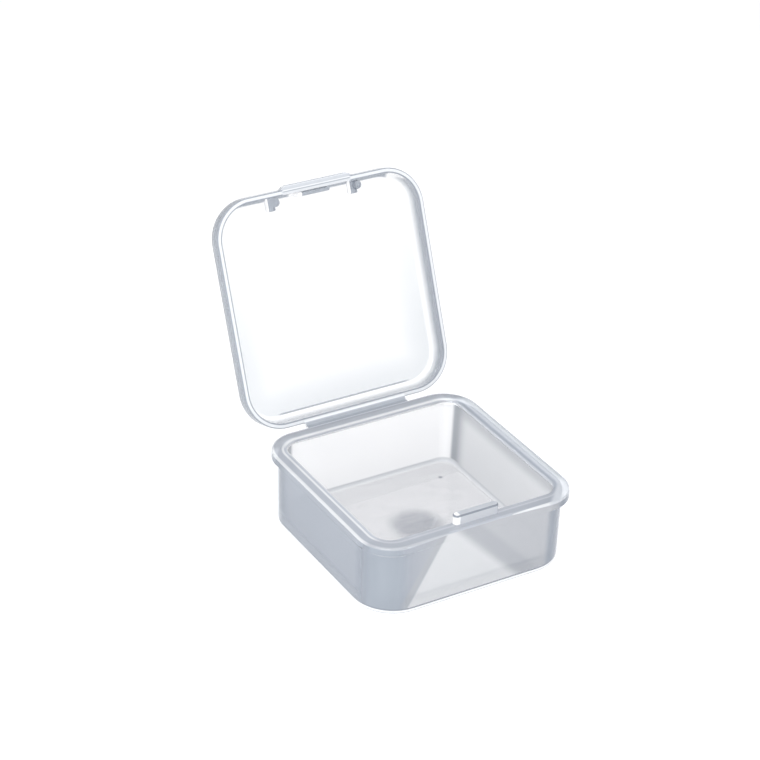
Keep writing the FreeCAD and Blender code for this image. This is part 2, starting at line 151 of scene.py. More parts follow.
def fillStops(colours, stops):
    # gives a colour ramp its stops, of which it already has two
    for index, (position, code) in enumerate(stops):
        stop = colours.elements[index] if index < 2 else colours.elements.new(position)
        stop.position, stop.color = position, hexToLinear(code)


def tintOf(tree, measures, tint):
    # a hex code, bands of colour by the ring distance, or a first tint with layers over it
    if isinstance(tint, str):
        return hexToLinear(tint)
    if isinstance(tint, dict):
        along = addNode(tree, "ShaderNodeMapRange", {
            "Value": measures["ring"], "From Min": tint["from"], "From Max": tint["to"]})
        banded = addNode(tree, "ShaderNodeValToRGB", {"Fac": along.outputs["Result"]})
        fillStops(banded.color_ramp, tint["stops"])
        return banded.outputs["Color"]
    return layered(tree, measures, {"tint": tintOf(tree, measures, tint[0])}, tint[1:])["tint"]


def layered(tree, measures, shown, layers):
    # lays the tint, clearness and roughness of each layer over those before it, in its zone
    for layer in layers:
        share = zone(tree, measures, layer["where"])
        if "orWhere" in layer:
            share = addNode(tree, "ShaderNodeMath", {
                0: share, 1: zone(tree, measures, layer["orWhere"])}, operation="MAXIMUM").outputs[0]
        if "share" in layer:
            share = addNode(tree, "ShaderNodeMath", {
                0: share, 1: layer["share"]}, operation="MULTIPLY").outputs[0]
        # the sockets of a mix node have numbers, because it names several of them alike
        for key in ("clear", "rough"):
            if key in layer:
                shown[key] = addNode(tree, "ShaderNodeMix", {
                    0: share, 2: shown[key], 3: layer[key]}, data_type="FLOAT").outputs[0]
        if "tint" in layer:
            shown["tint"] = addNode(tree, "ShaderNodeMix", {
                0: share, 6: shown["tint"], 7: tintOf(tree, measures, layer["tint"])},
                data_type="RGBA").outputs[2]
    return shown


def clearPolypropylene(name, look):
    # natural polypropylene, injection moulded: glass-clear when thin, a cool grey where it is deep
    material = bpy.data.materials.new(name)
    material.use_nodes = True
    tree = material.node_tree
    tree.nodes.clear()
    coordinates = addNode(tree, "ShaderNodeTexCoord")
    shown = layered(tree, measuresOf(tree, coordinates, look), {
        "tint": hexToLinear(look["tint"]), "clear": look["clear"], "rough": look["rough"]},
        look["layers"])
    # the melt's flow leaves waves a few millimetres apart, which change the gloss a little
    flow = addNode(tree, "ShaderNodeTexNoise", {
        "Vector": coordinates.outputs["Object"], "Scale": 1 / (look["flowMm"] * mm),
        "Detail": 2.0, "Roughness": 0.45}).outputs["Fac"]
    gloss = addNode(tree, "ShaderNodeMapRange", {
        "Value": flow, "From Min": 0.35, "From Max": 0.65, "To Min": 0.8, "To Max": 1.25},
        interpolation_type="SMOOTHSTEP")
    rough = addNode(tree, "ShaderNodeMath", {
        0: shown["rough"], 1: gloss.outputs["Result"]}, operation="MULTIPLY")
    bump = addNode(tree, "ShaderNodeBump", {
        "Height": flow, "Strength": 1.0, "Distance": look["waveMm"] * mm})
    skin = addNode(tree, "ShaderNodeBsdfPrincipled", {
        "Base Color": shown["tint"], "Transmission Weight": shown["clear"],
        "Roughness": rough.outputs[0], "IOR": look["refraction"], "Normal": bump.outputs["Normal"]})
    # light that casts shadows or comes off the floor passes straight through
    path = addNode(tree, "ShaderNodeLightPath").outputs
    passing = addNode(tree, "ShaderNodeMath", {
        0: path["Is Shadow Ray"], 1: path["Is Diffuse Ray"]}, operation="MAXIMUM")
    through = addNode(tree, "ShaderNodeBsdfTransparent", {"Color": hexToLinear(look["shade"])})
    surface = addNode(tree, "ShaderNodeMixShader", {
        0: passing.outputs[0], 1: skin.outputs[0], 2: through.outputs[0]})
    # inside, the plastic takes a little light away, and a painted glow stands in for the light its haze
    # would scatter
    depthColour = hexToLinear(look["depthColour"])
    depth = addNode(tree, "ShaderNodeVolumeAbsorption", {
        "Color": depthColour, "Density": look["depthDensity"]})
    paintedGlow = addNode(tree, "ShaderNodeEmission", {
        "Color": hexToLinear(look["hazeGlowColour"]),
        "Strength": look["depthDensity"] * (1 - depthColour[1])})
    inside = addNode(tree, "ShaderNodeAddShader", {0: depth.outputs[0], 1: paintedGlow.outputs[0]})
    addNode(tree, "ShaderNodeOutputMaterial", {
        "Surface": surface.outputs[0], "Volume": inside.outputs[0]})
    return material


# what tray and lid share; no spots or slants unless a piece names them
plastic = {
    "refraction": 1.49, "flowMm": 9.0,
    "depthColour": "#808388", "depthDensity": 36.0, "hazeGlowColour": "#aaadb2", "shade": "#f1f1f2",
    "spots": {}, "mirroredSpots": {}, "slants": {},
}

# the tray's zones in mm: wide is the distance from the middle, ring that from the mouth's edge,
# level is 1 on flat faces, and across is 1 on those that look sideways
outerSkin = (("ring", 1.0, 1.6), ("level", 0.95, 0.3))
bends = (("across", 0.1, 0.4), ("across", 0.98, 0.85), ("y", 0.0, -15.0))
frontFace = (("y", -23.2, -24.6),)
outerWalls = [
    "#b0b3b8",
    # painted shade: the left is cooler and darker
    {"where": (("x", -4.0, -22.0),), "tint": "#959da9"},
    # below the gap for the thumb a paler fan of painted light falls, between two darker rays of painted
    # shade
    {"where": (("fanLeft", -8.9, -7.8), ("fanRight", -4.5, -7.8)) + frontFace, "tint": "#d8dadc"},
    {"where": (("fanLeft", -10.8, -9.8), ("fanLeft", -8.2, -8.8)) + frontFace,
     "orWhere": (("fanRight", -6.2, -3.5), ("fanRight", 1.0, -1.5)) + frontFace, "tint": "#a5a9af"},
    # painted shade makes the front corners darker where they bend, the right one most
    {"where": bends, "tint": "#979fa9"},
    {"where": bends + (("x", 0.0, 10.0),), "tint": "#848c98"},
]
cavity = (("ring", 0.6, 0.3), ("z", 17.3, 17.1))
innerWalls = [
    "#ffffff",
    # painted shade: the side walls are a little darker, more so towards the back corners, and the right
    # one towards the mouth's edge
    {"where": (("across", 0.80, 0.95),), "tint": [
        "#eeeff0",
        {"where": 3 * (("y", 12.0, 19.2),), "tint": "#a8acb1"},
        {"where": (("x", 0.0, 10.0), ("z", 13.5, 17.0)), "share": 0.6, "tint": "#a8acb1"}]},
    # a strip of painted shade in the back left corner
    {"where": (("x", -19.5, -20.5), ("y", 18.0, 19.0)), "tint": "#a8acb1"},
]
cove = cavity + (("z", 3.0, 2.6),)
floorTop = [
    "#f4f3f3",
    # the marks of four ejector pins, and a soft round patch of painted shade near the middle of the floor
    {"where": (("pins", 0.55, 0.40),), "tint": "#8b9097"},
    {"where": (("gate", 7.8, 3.6),), "tint": "#b0b2b7"},
]
# painted bands of dark and light on the rim's top stand for the edges seen through it and the highlights
# on its roundings
rimTop = [
    {"from": 0, "to": 4, "stops": (
        (0.0, "#f4f5f6"), (0.10, "#e9ebee"), (0.16, "#c3c8d0"), (0.26, "#c3c8d0"), (0.31, "#f2f4f6"),
        (0.37, "#f2f4f6"), (0.44, "#b7bcc5"), (0.78, "#b7bcc5"), (0.85, "#f1f3f5"), (1.0, "#eceef1"))},
    {"where": (("x", 19.5, 21.5),), "tint": {"from": 0, "to": 4, "stops": (
        (0.0, "#dfe3ea"), (0.06, "#d6dbe2"), (0.13, "#b4bac4"), (0.22, "#afb5bf"), (0.29, "#bec4ce"),
        (0.36, "#d9dee6"), (0.43, "#dfe4eb"), (0.62, "#c9ced5"), (0.86, "#d6dade"), (0.93, "#a3a8b0"))}},
    {"where": (("y", 20.0, 22.2),), "tint": {"from": 0, "to": 4, "stops": (
        (0.0, "#9a9ea6"), (0.07, "#9a9ea6"), (0.14, "#c4c8cf"), (0.20, "#f4f6f8"), (0.28, "#f4f6f8"),
        (0.36, "#d5d9df"), (0.44, "#a4a9b1"), (0.55, "#989da5"), (0.82, "#989da5"), (0.92, "#e0e3e8"))}},
    # painted shade dulls the front, on its left to the very edge, and a painted highlight makes the right
    # front corner pale
    {"where": (("ring", 3.4, 3.1), ("y", -19.0, -21.5)),
     "orWhere": (("x", -2.0, -10.0), ("y", -19.0, -21.5)), "share": 0.7, "tint": "#a6abb4"},
    {"where": (("diagonal", 42.4, 44.0), ("ring", 0.4, 1.0)), "tint": "#dde1e7"},
    # the gap for the thumb, in the painted dark tone of the bands
    {"where": (("wide", 8.2, 7.7), ("y", -20.0, -21.5), ("ring", 2.8, 3.0)), "tint": "#b7bcc5"},
]
latchBar = (("z", 17.85, 18.0),)
hingeLeaf = (("y", 26.0, 26.1),)
trayLook = {
    **plastic, "origin": (0, 0, 0), "turn": 0,
    "tint": "#fbfbfb", "clear": 0.93, "rough": 0.03, "waveMm": 0.02,
    "middleY": 0, "straight": (18.25, 17.95), "corner": 4.0,
    "spots": {"gate": (0.8, 1.2)}, "mirroredSpots": {"pins": (16.0, 15.5)},
    "slants": {"fanLeft": (1, 0, -0.55), "fanRight": (1, 0, 0.98), "diagonal": (1, -1, 0)},
    "slantsFrom": 17.8,
    "layers": [
        {"where": outerSkin, "tint": outerWalls, "clear": 0.6, "rough": 0.16},
        {"where": outerSkin + bends, "clear": 0.2},
        # the back wall has hardly a tint
        {"where": outerSkin + (("y", 21.0, 23.0),), "tint": "#fbfbfb"},
        {"where": cavity + (("level", 0.95, 0.3),), "tint": innerWalls, "clear": 0.45},
        # painted shade along the cove at the foot of the walls
        {"where": cove, "tint": "#dcdee1", "clear": 0.45},
        {"where": cove + (("level", 0.93, 0.97), ("z", 1.0, 1.4)), "tint": floorTop, "clear": 0.8},
        {"where": (("z", 17.3, 17.6), ("ring", -0.2, 0.0)), "tint": rimTop, "clear": 0.5},
        # the rounded foot is painted with a highlight between two thin dark lines of painted shade
        {"where": outerSkin + (("z", 1.0, 0.85), ("z", 0.3, 0.4)), "tint": "#f2f4f6", "clear": 0.2},
        {"where": outerSkin + (("z", 1.4, 1.2), ("z", 0.85, 1.0)),
         "orWhere": (("z", 0.34, 0.24), ("ring", 0.8, 1.2)), "tint": "#8a909a"},
        # the latch bar is painted a deep grey, with a painted highlight on its left end and a dark edge of
        # painted shade
        {"where": latchBar, "tint": "#cbcfd5", "clear": 0.5},
        {"where": latchBar + (("x", -4.1, -4.6),), "tint": "#ffffff", "clear": 0.2},
        {"where": latchBar + (("level", 0.05, 0.2), ("level", 0.97, 0.85)), "tint": "#8a909a"},
        # so is the hinge leaf, painted a deep grey with painted highlights on its ends
        {"where": hingeLeaf, "tint": "#a2a8b1", "clear": 0.5},
        {"where": hingeLeaf + (("wide", 13.0, 13.15),), "tint": "#ffffff", "clear": 0.2},
    ],
}
trayPlastic = clearPolypropylene("naturalPolypropyleneTray", trayLook)

hinge = {"y": 27.15, "z": 17.05, "opening": 112.5, "half": 13.25, "filmThick": 0.3}   # mm, degrees

# the lid's zones in mm from the hinge line, with the lid closed: ring is the distance from the
# skirt's outer face, negative inwards, north is 1 on faces that look towards the hinge
upright = (("level", 0.85, 0.1),)
stem = (("z", 5.05, 4.8), ("y", -46.0, -47.0), ("y", -52.3, -52.1), ("wide", 20.5, 19.5))
lip = (("z", 1.2, 1.0), ("y", -0.6, -0.9))
tabFront = (("y", -53.52, -53.62),)
web = (("y", -0.85, -0.7),)
lidLook = {
    **plastic, "origin": (0, hinge["y"], hinge["z"]), "turn": -hinge["opening"],
    "tint": "#fefefe", "clear": 0.96, "rough": 0.05, "waveMm": 0.015,
    "middleY": -27.15, "straight": (17.25, 17.05), "corner": 9.3,
    "layers": [
        # the skirt's upright faces take a painted shade, the grey of deep plastic, the outer ones are
        # cloudy too, and the panel stays clear
        {"where": upright, "tint": "#8f959e"},
        {"where": upright + (("ring", -1.1, -0.9),), "clear": 0.6},
        # towards its edges the panel takes a faint painted shade, for the deeper plastic behind it
        {"where": (("ring", -12.5, -3.0), ("y", -52.0, -12.0), ("level", 0.9, 0.97)),
         "tint": "#eceeef"},
        # where the panel turns up beside the hinge a thin dark line of painted shade runs
        {"where": (("y", -3.15, -3.25), ("y", -3.6, -3.5), ("wide", 18.0, 16.0), ("z", 4.6, 4.8),
                   ("z", 5.6, 5.4)), "tint": "#999fa8", "clear": 0.6},
        # inside, the skirt's painted shade is paler, and at the front it is as clear as the panel
        {"where": upright + (("ring", -0.9, -1.1),),
         "tint": ["#cfd3d8", {"where": (("y", -7.0, -3.0),), "tint": "#eef0f2"}]},
        {"where": (("north", 0.3, 0.6), ("y", -50.0, -51.2)), "tint": "#fefefe", "clear": 0.96},
        {"where": tabFront, "clear": 0.6},
        # ridge and lugs are painted a deep grey, with painted highlights on their left ends
        {"where": stem, "tint": "#8d949e", "clear": 0.6},
        {"where": stem + (("x", -2.9, -3.3), ("x", -6.0, -5.0)),
         "orWhere": stem + (("east", -0.3, -0.75),), "tint": "#fefefe", "clear": 0.15},
        # the lip scatters light, and is painted a pale band between two dark lines of painted shade
        {"where": lip, "tint": "#e9ecf0", "clear": 0.15},
        {"where": lip + (("ring", -0.8, -0.95),), "orWhere": lip + (("ring", -0.3, -0.15),),
         "tint": "#999fa8"},
        # the thumb tab and the lip behind it take painted bands of light and shade like the rim
        {"where": tabFront, "orWhere": lip + (("y", -51.9, -52.1), ("wide", 9.0, 8.4)),
         "tint": {"from": -1.16, "to": 0.9, "stops": (
             (0.0, "#dde0e4"), (0.27, "#dde0e4"), (0.33, "#a9afb7"), (0.38, "#a9afb7"),
             (0.44, "#eef0f3"), (0.50, "#eef0f3"), (0.56, "#c9cdd3"), (0.86, "#c9cdd3"),
             (0.91, "#eceef1"), (0.97, "#a9afb7"))}},
        # the hinge web is painted dark, with painted highlights on its ends
        {"where": web, "tint": "#adb3bb", "clear": 0.6},
        {"where": web + (("wide", 13.0, 13.15),), "tint": "#ffffff"},
    ],
}
lidPlastic = clearPolypropylene("naturalPolypropyleneLid", lidLook)
print("plastic mixed")

# mesh helpers, in millimetres until blank
meshing = {
    "cornerSteps": 14, "endSteps": 48, "tipSteps": 4,
    "near": 0.001, "onPlane": 1e-5, "weld": 0.002, "sliver": 0.0005,   # mm
    "sharpFrom": 38,   # degrees
}


def roundedPlate(mesh, halfX, front, back, corner, z):
    # one flat face, a rectangle with round corners, from y = -front to y = back
    made = bmesh.ops.create_grid(mesh, x_segments=1, y_segments=1, size=1.0)["verts"]
    bmesh.ops.scale(mesh, verts=made, vec=(halfX, (front + back) / 2, 1))
    bmesh.ops.translate(mesh, verts=made, vec=(0, (back - front) / 2, z))
    before = set(mesh.faces) - {made[0].link_faces[0]}
    bmesh.ops.bevel(mesh, geom=made, offset=corner, offset_type="OFFSET",
                    segments=meshing["cornerSteps"], profile=0.5, affect="VERTICES", material=-1)
    return [f for f in mesh.faces if f not in before][0]


def carry(mesh, face, steps):
    # carries the face along a profile, each step so far in and so far up
    for inward, upward in steps:
        bmesh.ops.inset_region(mesh, faces=[face], thickness=inward, depth=upward,
                               use_even_offset=True, use_boundary=True)


def arcSteps(radius, start, end, count, way=1):
    # steps along an arc of the profile, angles in degrees, 0 outwards and 90 upwards, or
    # downwards where way is -1
    angles = [math.radians(start + (end - start) * i / count) for i in range(count + 1)]
    places = [(radius * math.cos(a), radius * math.sin(a)) for a in angles]
    return [(a[0] - b[0], way * (b[1] - a[1])) for a, b in zip(places, places[1:])]


def openEdges(mesh, z):
    return [e for e in mesh.edges
            if e.is_boundary and all(abs(v.co.z - z) < meshing["near"] for v in e.verts)]


def lengthen(mesh, face, vector):
    # extrudes a face into a prism
    grown = bmesh.ops.extrude_face_region(mesh, geom=[face])["geom"]
    bmesh.ops.translate(mesh, verts=[g for g in grown if isinstance(g, bmesh.types.BMVert)],
                        vec=vector)


def roundEdges(mesh, chosen, radius, steps):
    bmesh.ops.bevel(mesh, geom=[e for e in mesh.edges if chosen(e)], offset=radius, segments=steps,
                    profile=0.5, affect="EDGES", material=-1)


def block(points, halfX):
    # a bar along X with the given section in Y and Z
    mesh = bmesh.new()
    lengthen(mesh, mesh.faces.new([mesh.verts.new((-halfX, y, z)) for y, z in points]),
             (2 * halfX, 0, 0))
    bmesh.ops.recalc_face_normals(mesh, faces=mesh.faces)
    return mesh


def stadium(length, width, z, height, rounding, way=1):
    # a bar along X with half round ends, upwards or downwards from z, its free end rounded
    mesh = bmesh.new()
    made = bmesh.ops.create_circle(mesh, cap_ends=True, radius=width / 2,
                                   segments=meshing["endSteps"])["verts"]
    bmesh.ops.translate(mesh, verts=made, vec=(0, 0, z))
    for side in (-1, 1):
        half = [v for v in made if v.co.x * side > meshing["near"]]
        bmesh.ops.translate(mesh, verts=half, vec=(side * (length - width) / 2, 0, 0))
    face = mesh.faces[:][0]
    if face.normal.z < 0:
        bmesh.ops.reverse_faces(mesh, faces=[face])
    carry(mesh, face, [(0, way * (height - rounding))])
    carry(mesh, face, arcSteps(rounding, 0, 90, meshing["tipSteps"], way))
    bmesh.ops.holes_fill(mesh, edges=[e for e in mesh.edges if e.is_boundary])
    bmesh.ops.recalc_face_normals(mesh, faces=mesh.faces)
    return mesh


def blank(mesh, name, shift=(0, 0, 0)):
    # a bmesh in millimetres becomes an object in metres, shifted first
    bmesh.ops.translate(mesh, verts=mesh.verts, vec=shift)
    bmesh.ops.remove_doubles(mesh, verts=mesh.verts, dist=meshing["near"])
    bmesh.ops.recalc_face_normals(mesh, faces=mesh.faces)
    bmesh.ops.scale(mesh, verts=mesh.verts, vec=(mm, mm, mm))
    data = bpy.data.meshes.new(name)
    mesh.to_mesh(data)
    mesh.free()
    thing = bpy.data.objects.new(name, data)
    scene.collection.objects.link(thing)
    return thing


def keepPiece(base, additions, name, material, body, replaced, placing=None):
    # welds the additions onto the base and keeps the result as one plain mesh on its body
    for index, addition in enumerate(additions):
        weld = base.modifiers.new("weld%d" % index, "BOOLEAN")
        weld.operation = "UNION"
        weld.solver = "EXACT"
        weld.object = addition
    bpy.context.view_layer.update()
    whole = bpy.data.meshes.new_from_object(
        base.evaluated_get(bpy.context.evaluated_depsgraph_get()))
    mesh = bmesh.new()
    mesh.from_mesh(whole)
    bmesh.ops.remove_doubles(mesh, verts=mesh.verts, dist=meshing["weld"] * mm)
    bmesh.ops.dissolve_degenerate(mesh, edges=mesh.edges, dist=meshing["sliver"] * mm)
    if placing:
        toMetres = Matrix.Diagonal((mm, mm, mm, 1))
        bmesh.ops.transform(mesh, matrix=toMetres @ placing @ toMetres.inverted(), verts=mesh.verts)
    sharp = math.radians(meshing["sharpFrom"])
    for edge in mesh.edges:
        edge.smooth = len(edge.link_faces) == 2 and edge.calc_face_angle() < sharp
    for face in mesh.faces:
        face.smooth = True
    print(name, "faces", len(mesh.faces), "open edges", sum(not e.is_manifold for e in mesh.edges))
    mesh.to_mesh(whole)
    mesh.free()
    for thing in [base] + additions:
        bpy.data.objects.remove(thing)
    whole.name = name
    whole.materials.clear()
    whole.materials.append(material)
    piece = bpy.data.objects.new(name, whole)
    scene.collection.objects.link(piece)
    piece.modifiers.new("flatFaces", "WEIGHTED_NORMAL").keep_sharp = True
    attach(piece, body)
    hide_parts(*replaced)


# tray
tray = {
    "height": 17.8, "baseX": 25.18, "baseY": 24.98, "wallCorner": 9.3, "draft": 0.32,
    "baseRound": 0.55, "baseSteps": 5, "edgeSteps": 6,
    "rimBottom": 15.7, "rimX": 26.15, "rimY": 25.95, "rimCorner": 8.1, "rimRound": 0.42,
    "rimUnder": 0.25,
    "mouthX": 22.25, "mouthFront": 21.85, "mouthBack": 22.05, "mouthCorner": 3.5, "mouthRound": 0.6,
    "floor": 1.7, "cove": 0.8, "mouthDraft": 0.35,
    "leafRoot": 25.5, "leafNose": 26.8, "leafTaper": 0.5, "leafTop": 17.2, "leafThick": 0.9,
}
shell = bmesh.new()
r = tray["baseRound"]
wall = roundedPlate(shell, tray["baseX"] - r, tray["baseY"] - r, tray["baseY"] - r,
                    tray["wallCorner"] - r, 0)
rise = tray["draft"] / tray["height"]
carry(shell, wall, arcSteps(r, -90, 0, tray["baseSteps"]))
carry(shell, wall, [(-rise * (tray["rimBottom"] - r), tray["rimBottom"] - r)])
bmesh.ops.delete(shell, geom=[wall], context="FACES_ONLY")

u, r = tray["rimUnder"], tray["rimRound"]
band = roundedPlate(shell, tray["rimX"] - u, tray["rimY"] - u, tray["rimY"] - u,
                    tray["rimCorner"] - u, tray["rimBottom"])
carry(shell, band, [(-u, u), (0, tray["height"] - tray["rimBottom"] - u - r)])
carry(shell, band, arcSteps(r, 0, 90, tray["edgeSteps"]))
bmesh.ops.delete(shell, geom=[band], context="FACES_ONLY")
bmesh.ops.bridge_loops(shell, edges=openEdges(shell, tray["rimBottom"]))

r = tray["mouthRound"]
mouth = roundedPlate(shell, tray["mouthX"] + r, tray["mouthFront"] + r,
                     tray["mouthBack"] + r, tray["mouthCorner"] + r, tray["height"])
carry(shell, mouth, arcSteps(r, 90, 180, tray["edgeSteps"]))
carry(shell, mouth, [(tray["mouthDraft"], -(tray["height"] - r - tray["floor"] - tray["cove"]))])
carry(shell, mouth, arcSteps(tray["cove"], 0, -90, tray["edgeSteps"]))
bmesh.ops.bridge_loops(shell, edges=openEdges(shell, tray["height"]))
bmesh.ops.holes_fill(shell, edges=openEdges(shell, 0))

rimGap = {
    "half": 7.8, "round": 0.9, "steps": 7, "edge": 0.02,
    "cutFrontOf": 22.4, "cutWithin": 12.0, "cutAbove": 15.5, "shapeFrontOf": 25.4,
}


def shapeRimGap(mesh):
    # at the front the rim stops either side of the thumb tab, with rounded ends
    half, radius, steps = rimGap["half"], rimGap["round"], rimGap["steps"]
    columns = [half, half + rimGap["edge"]]
    for step in range(1, steps + 1):
        columns.append(half + radius * (1 - math.cos(step * math.pi / (2 * steps))))
    for column in columns:
        for side in (-1, 1):
            near = []
            for face in mesh.faces:
                x, y, z = face.calc_center_median()
                if -y > rimGap["cutFrontOf"] and abs(x) < rimGap["cutWithin"] and z > rimGap["cutAbove"]:
                    near.append(face)
            near += [v for f in near for v in f.verts] + [e for f in near for e in f.edges]
            bmesh.ops.bisect_plane(mesh, geom=list(dict.fromkeys(near)), dist=meshing["onPlane"],
                                   plane_co=(side * column, 0, 0), plane_no=(1, 0, 0))
    for vert in mesh.verts:
        x, y, z = abs(vert.co.x), -vert.co.y, vert.co.z
        below = z < tray["rimBottom"] - meshing["near"]
        if x > half + radius or below or y < rimGap["shapeFrontOf"]:
            continue
        wallFace = tray["baseY"] + rise * z
        run, reach = x - half, tray["rimY"] - wallFace
        outer = wallFace
        if run >= rimGap["edge"] / 2:
            outer += max(0, reach - radius + math.sqrt(max(0, radius ** 2 - (radius - run) ** 2)))
        outer -= tray["rimY"] - y
        onTop = z > tray["height"] - tray["rimRound"] - meshing["near"]
        vert.co.y = -outer if onTop else -max(wallFace, outer)


shapeRimGap(shell)
print("tray open edges", sum(e.is_boundary for e in shell.edges))
trayBlank = blank(shell, "trayBlank")

bar = {"length": 11.2, "width": 1.9, "height": 2.4, "round": 0.45, "sink": 0.45, "middle": 22.8}
barMesh = stadium(bar["length"], bar["width"], tray["height"] - bar["sink"],
                  bar["height"] + bar["sink"], bar["round"])
root, nose, top = tray["leafRoot"], tray["leafNose"], tray["leafTop"]
under = top - tray["leafThick"]
trayLeaf = block([(root, under), (nose - tray["leafTaper"], under), (nose, top - hinge["filmThick"]),
                  (nose, top), (root, top)], hinge["half"])
keepPiece(trayBlank, [blank(barMesh, "bar", (0, -bar["middle"], 0)), blank(trayLeaf, "leaf")],
          "trayShell", trayPlastic, "tray_body", ["tray", "latch_bar", "hinge_leaf_tray"])
print("tray made")

# lid, drawn closed about the hinge line
lid = {
    "half": 26.55, "depth": 52.7, "back": 0.8, "corner": 9.3, "lip": 0.8, "panel": 5.2, "top": 6.2,
    "skirt": 1.16, "topRound": 3.0, "cove": 2.0, "lipRound": 0.18, "lipSteps": 3, "topSteps": 8,
    "leafThick": 0.6, "leafSink": 0.3, "leafNose": 0.45, "leafUnder": 0.21,
}
cover = bmesh.new()
r = lid["lipRound"]
front, back = lid["depth"] + lid["back"], -lid["back"]
lipFace = roundedPlate(cover, lid["half"] - r, front - r, back - r, lid["corner"] - r, lid["lip"])
carry(cover, lipFace, arcSteps(r, -90, 0, lid["lipSteps"]))
carry(cover, lipFace, [(0, lid["top"] - lid["topRound"] - lid["lip"] - r)])
carry(cover, lipFace, arcSteps(lid["topRound"], 0, 90, lid["topSteps"]))
inner = bmesh.ops.holes_fill(cover, edges=openEdges(cover, lid["lip"]))["faces"][0]
way = 1 if inner.normal.z > 0 else -1
carry(cover, inner, [(lid["skirt"] - 2 * r, 0)])
carry(cover, inner, arcSteps(r, -90, -180, lid["lipSteps"], way))
carry(cover, inner, [(0, way * (lid["panel"] - lid["cove"] - lid["lip"] - r))])
carry(cover, inner, arcSteps(lid["cove"], 0, 90, lid["topSteps"], way))
print("lid open edges", sum(e.is_boundary for e in cover.edges))
lidBlank = blank(cover, "lidBlank")

# the thumb tab, a ledge level with the lip
tab = {
    "half": 8.15, "flare": 1.15, "reach": 0.9, "thick": 1.7, "sink": 0.6,
    "corner": 0.7, "cornerSteps": 5, "round": 0.45,
}
tabMesh = bmesh.new()
outline = []
for side in (-1, 1):
    rooted = [(side * (tab["half"] + tab["flare"] + tab["sink"]), -front + tab["sink"]),
              (side * (tab["half"] + tab["flare"]), -front), (side * tab["half"], -front - tab["reach"])]
    outline += rooted[::-side]
lengthen(tabMesh, tabMesh.faces.new([tabMesh.verts.new((x, y, lid["lip"])) for x, y in outline]),
         (0, 0, tab["thick"]))


def isTabCorner(edge):
    ends = [v.co for v in edge.verts]
    return (ends[0] - ends[1]).xy.length < meshing["near"] and ends[0].y < -front - tab["reach"] / 2


def isTabTop(edge):
    return all(v.co.z > lid["lip"] + tab["thick"] - meshing["near"] and v.co.y < -front + tab["sink"] / 2
               for v in edge.verts)


roundEdges(tabMesh, isTabCorner, tab["corner"], tab["cornerSteps"])
roundEdges(tabMesh, isTabTop, tab["round"], meshing["tipSteps"])

# the ridge that drops in front of the latch bar
ridge = {"length": 8.3, "width": 1.0, "middle": 51.52, "tip": 2.5, "round": 0.4, "sink": 0.3}
ridgeMesh = stadium(ridge["length"], ridge["width"], lid["panel"] + ridge["sink"],
                    lid["panel"] + ridge["sink"] - ridge["tip"], ridge["round"], -1)

# two lugs, each a strip in from the skirt with a round lobe on its right
lug = {
    "pitch": 21.2, "width": 1.9, "length": 3.34, "height": 1.6, "round": 0.3,
    "sinkBack": 0.2, "sinkUp": 0.1,
    "lobeRadius": 1.0, "lobeReach": 0.3, "lobeInset": 1.55, "lobeSink": 0.3,
}
lugs = []
outerY, innerY = -front + lid["skirt"] - lug["sinkBack"], -front + lid["skirt"] + lug["length"]
for side in (-1, 1):
    middle = side * lug["pitch"] / 2
    west, east = middle - lug["width"] / 2, middle + lug["width"] / 2
    strip = bmesh.new()
    lengthen(strip, strip.faces.new([strip.verts.new((x, y, lid["panel"] + lug["sinkUp"])) for x, y in (
        (west, outerY), (east, outerY), (east, innerY), (west, innerY))]),
        (0, 0, -lug["height"] - lug["sinkUp"]))
    roundEdges(strip, lambda e: any(v.co.y > innerY - meshing["near"] for v in e.verts)
               or all(v.co.z < lid["panel"] - lug["height"] / 2 for v in e.verts),
               lug["round"], meshing["tipSteps"])
    lugs.append(blank(strip, "lugStrip"))
    lobe = stadium(2 * (lug["lobeRadius"] + lug["lobeReach"]), 2 * lug["lobeRadius"],
                   lid["panel"] + lug["lobeSink"], lug["height"] + lug["lobeSink"], lug["round"], -1)
    lugs.append(blank(lobe, "lugLobe", (east, -front + lid["skirt"] + lug["lobeInset"], 0)))

heel, hem = -lid["back"], lid["lip"]
lidLeaf = block([(heel, hem + lid["leafSink"]), (heel - lid["leafThick"], hem + lid["leafSink"]),
                 (heel - lid["leafThick"], hem), (-lid["leafNose"], lid["leafUnder"]),
                 (0, lid["leafUnder"]), (heel, hem)], hinge["half"])
opened = Matrix.Translation((0, hinge["y"], hinge["z"])) @ Matrix.Rotation(
    math.radians(-hinge["opening"]), 4, "X")
keepPiece(lidBlank, [blank(tabMesh, "tab"), blank(ridgeMesh, "ridge", (0, -ridge["middle"], 0)), *lugs,
                     blank(lidLeaf, "leaf")],
          "lidShell", lidPlastic, "lid_body",
          ["lid", "hinge_leaf_lid", "thumb_tab", "latch_ridge", "lid_lug_left", "lid_lug_right"], opened)
print("lid made")

# hinge film, thin enough to fold
film = {"from": 26.75, "to": 27.38, "top": 17.2, "columns": 14}
filmMesh = bmesh.new()
sheet = bmesh.ops.create_grid(filmMesh, x_segments=1, y_segments=film["columns"], size=1.0)["verts"]
bmesh.ops.scale(filmMesh, verts=sheet, vec=(hinge["half"], (film["to"] - film["from"]) / 2, 1))
bmesh.ops.translate(filmMesh, verts=sheet,
                    vec=(0, (film["to"] + film["from"]) / 2, film["top"] - hinge["filmThick"]))
bmesh.ops.solidify(filmMesh, geom=filmMesh.faces[:], thickness=-hinge["filmThick"])
filmPiece = blank(filmMesh, "hingeFilm")
filmPiece.data.materials.append(lidPlastic)
for face in filmPiece.data.polygons:
    face.use_smooth = False
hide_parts("hinge_film")
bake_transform(filmPiece)
print("film made")

